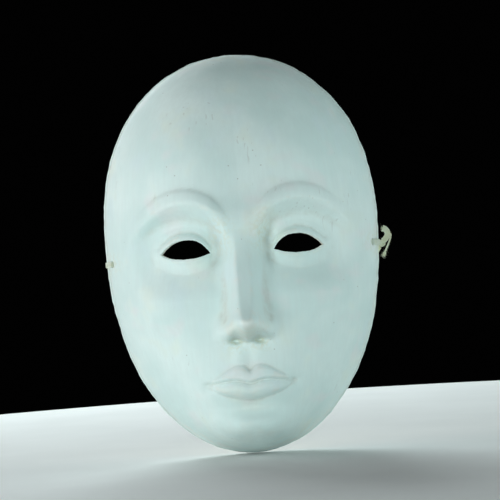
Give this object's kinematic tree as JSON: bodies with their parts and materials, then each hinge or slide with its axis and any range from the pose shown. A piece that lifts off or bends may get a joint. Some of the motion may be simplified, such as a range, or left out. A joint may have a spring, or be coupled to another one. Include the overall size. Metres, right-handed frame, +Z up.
{
  "type": "full-face mask",
  "caption": "Plain white full-face mask: a thin moulded shell with almond eye holes, held on by a flat cord tied through a hole at each side.",
  "frame": {"origin": "middle of the flat rim's plane, at the height of the eyes, where the wearer's face meets the mask", "axes": "+Z up to the crown, -Y the way the mask faces, +X to the viewer's right"},
  "size_m": [0.1736, 0.0966, 0.24],
  "materials": {
    "shell": "matt white paint on moulded paper pulp",
    "cord": "flat braided cotton cord, cream"
  },
  "bodies": {
    "root": {"mask_shell": "shell", "cord_span": "cord", "right_knot": "cord", "right_rim_loop": "cord", "right_tail_upper": "cord", "right_tail_lower": "cord", "left_knot": "cord", "left_rim_loop": "cord"}
  },
  "joints": []
}
